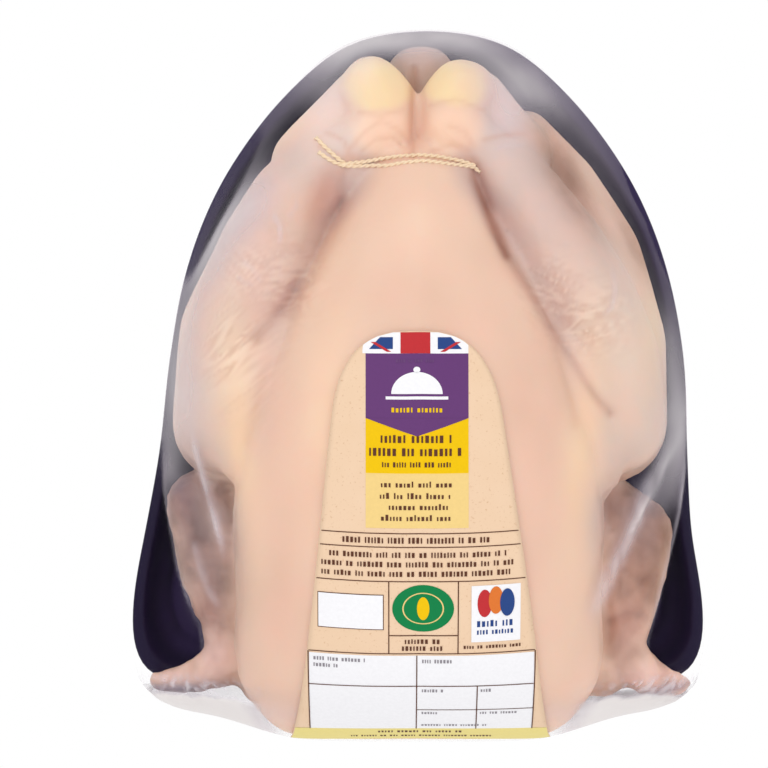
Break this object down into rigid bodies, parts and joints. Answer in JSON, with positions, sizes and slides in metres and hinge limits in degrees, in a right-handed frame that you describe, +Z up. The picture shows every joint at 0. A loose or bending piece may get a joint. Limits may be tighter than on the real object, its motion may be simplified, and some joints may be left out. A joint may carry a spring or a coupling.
{
  "type": "whole raw chicken in a wrapped tray",
  "caption": "Whole raw chicken, breast up with tied legs, in a shallow dark moulded tray under taut clear film with a tapered paper label.",
  "frame": {"origin": "on the surface that the tray stands on, under the middle of the pack", "axes": "+Y towards the tied legs, +Z up through the breast, +X to the right seen from above with the legs at the top"},
  "size_m": [0.2182, 0.2695, 0.1205],
  "materials": {
    "tray_plastic": "glossy moulded dark purple plastic",
    "skin_under_film": "pale raw poultry skin under clear glossy film",
    "label_paper": "printed paper, satin"
  },
  "bodies": {
    "root": {"tray": "tray_plastic", "wrapped_chicken": "skin_under_film", "label": "label_paper"}
  },
  "joints": []
}
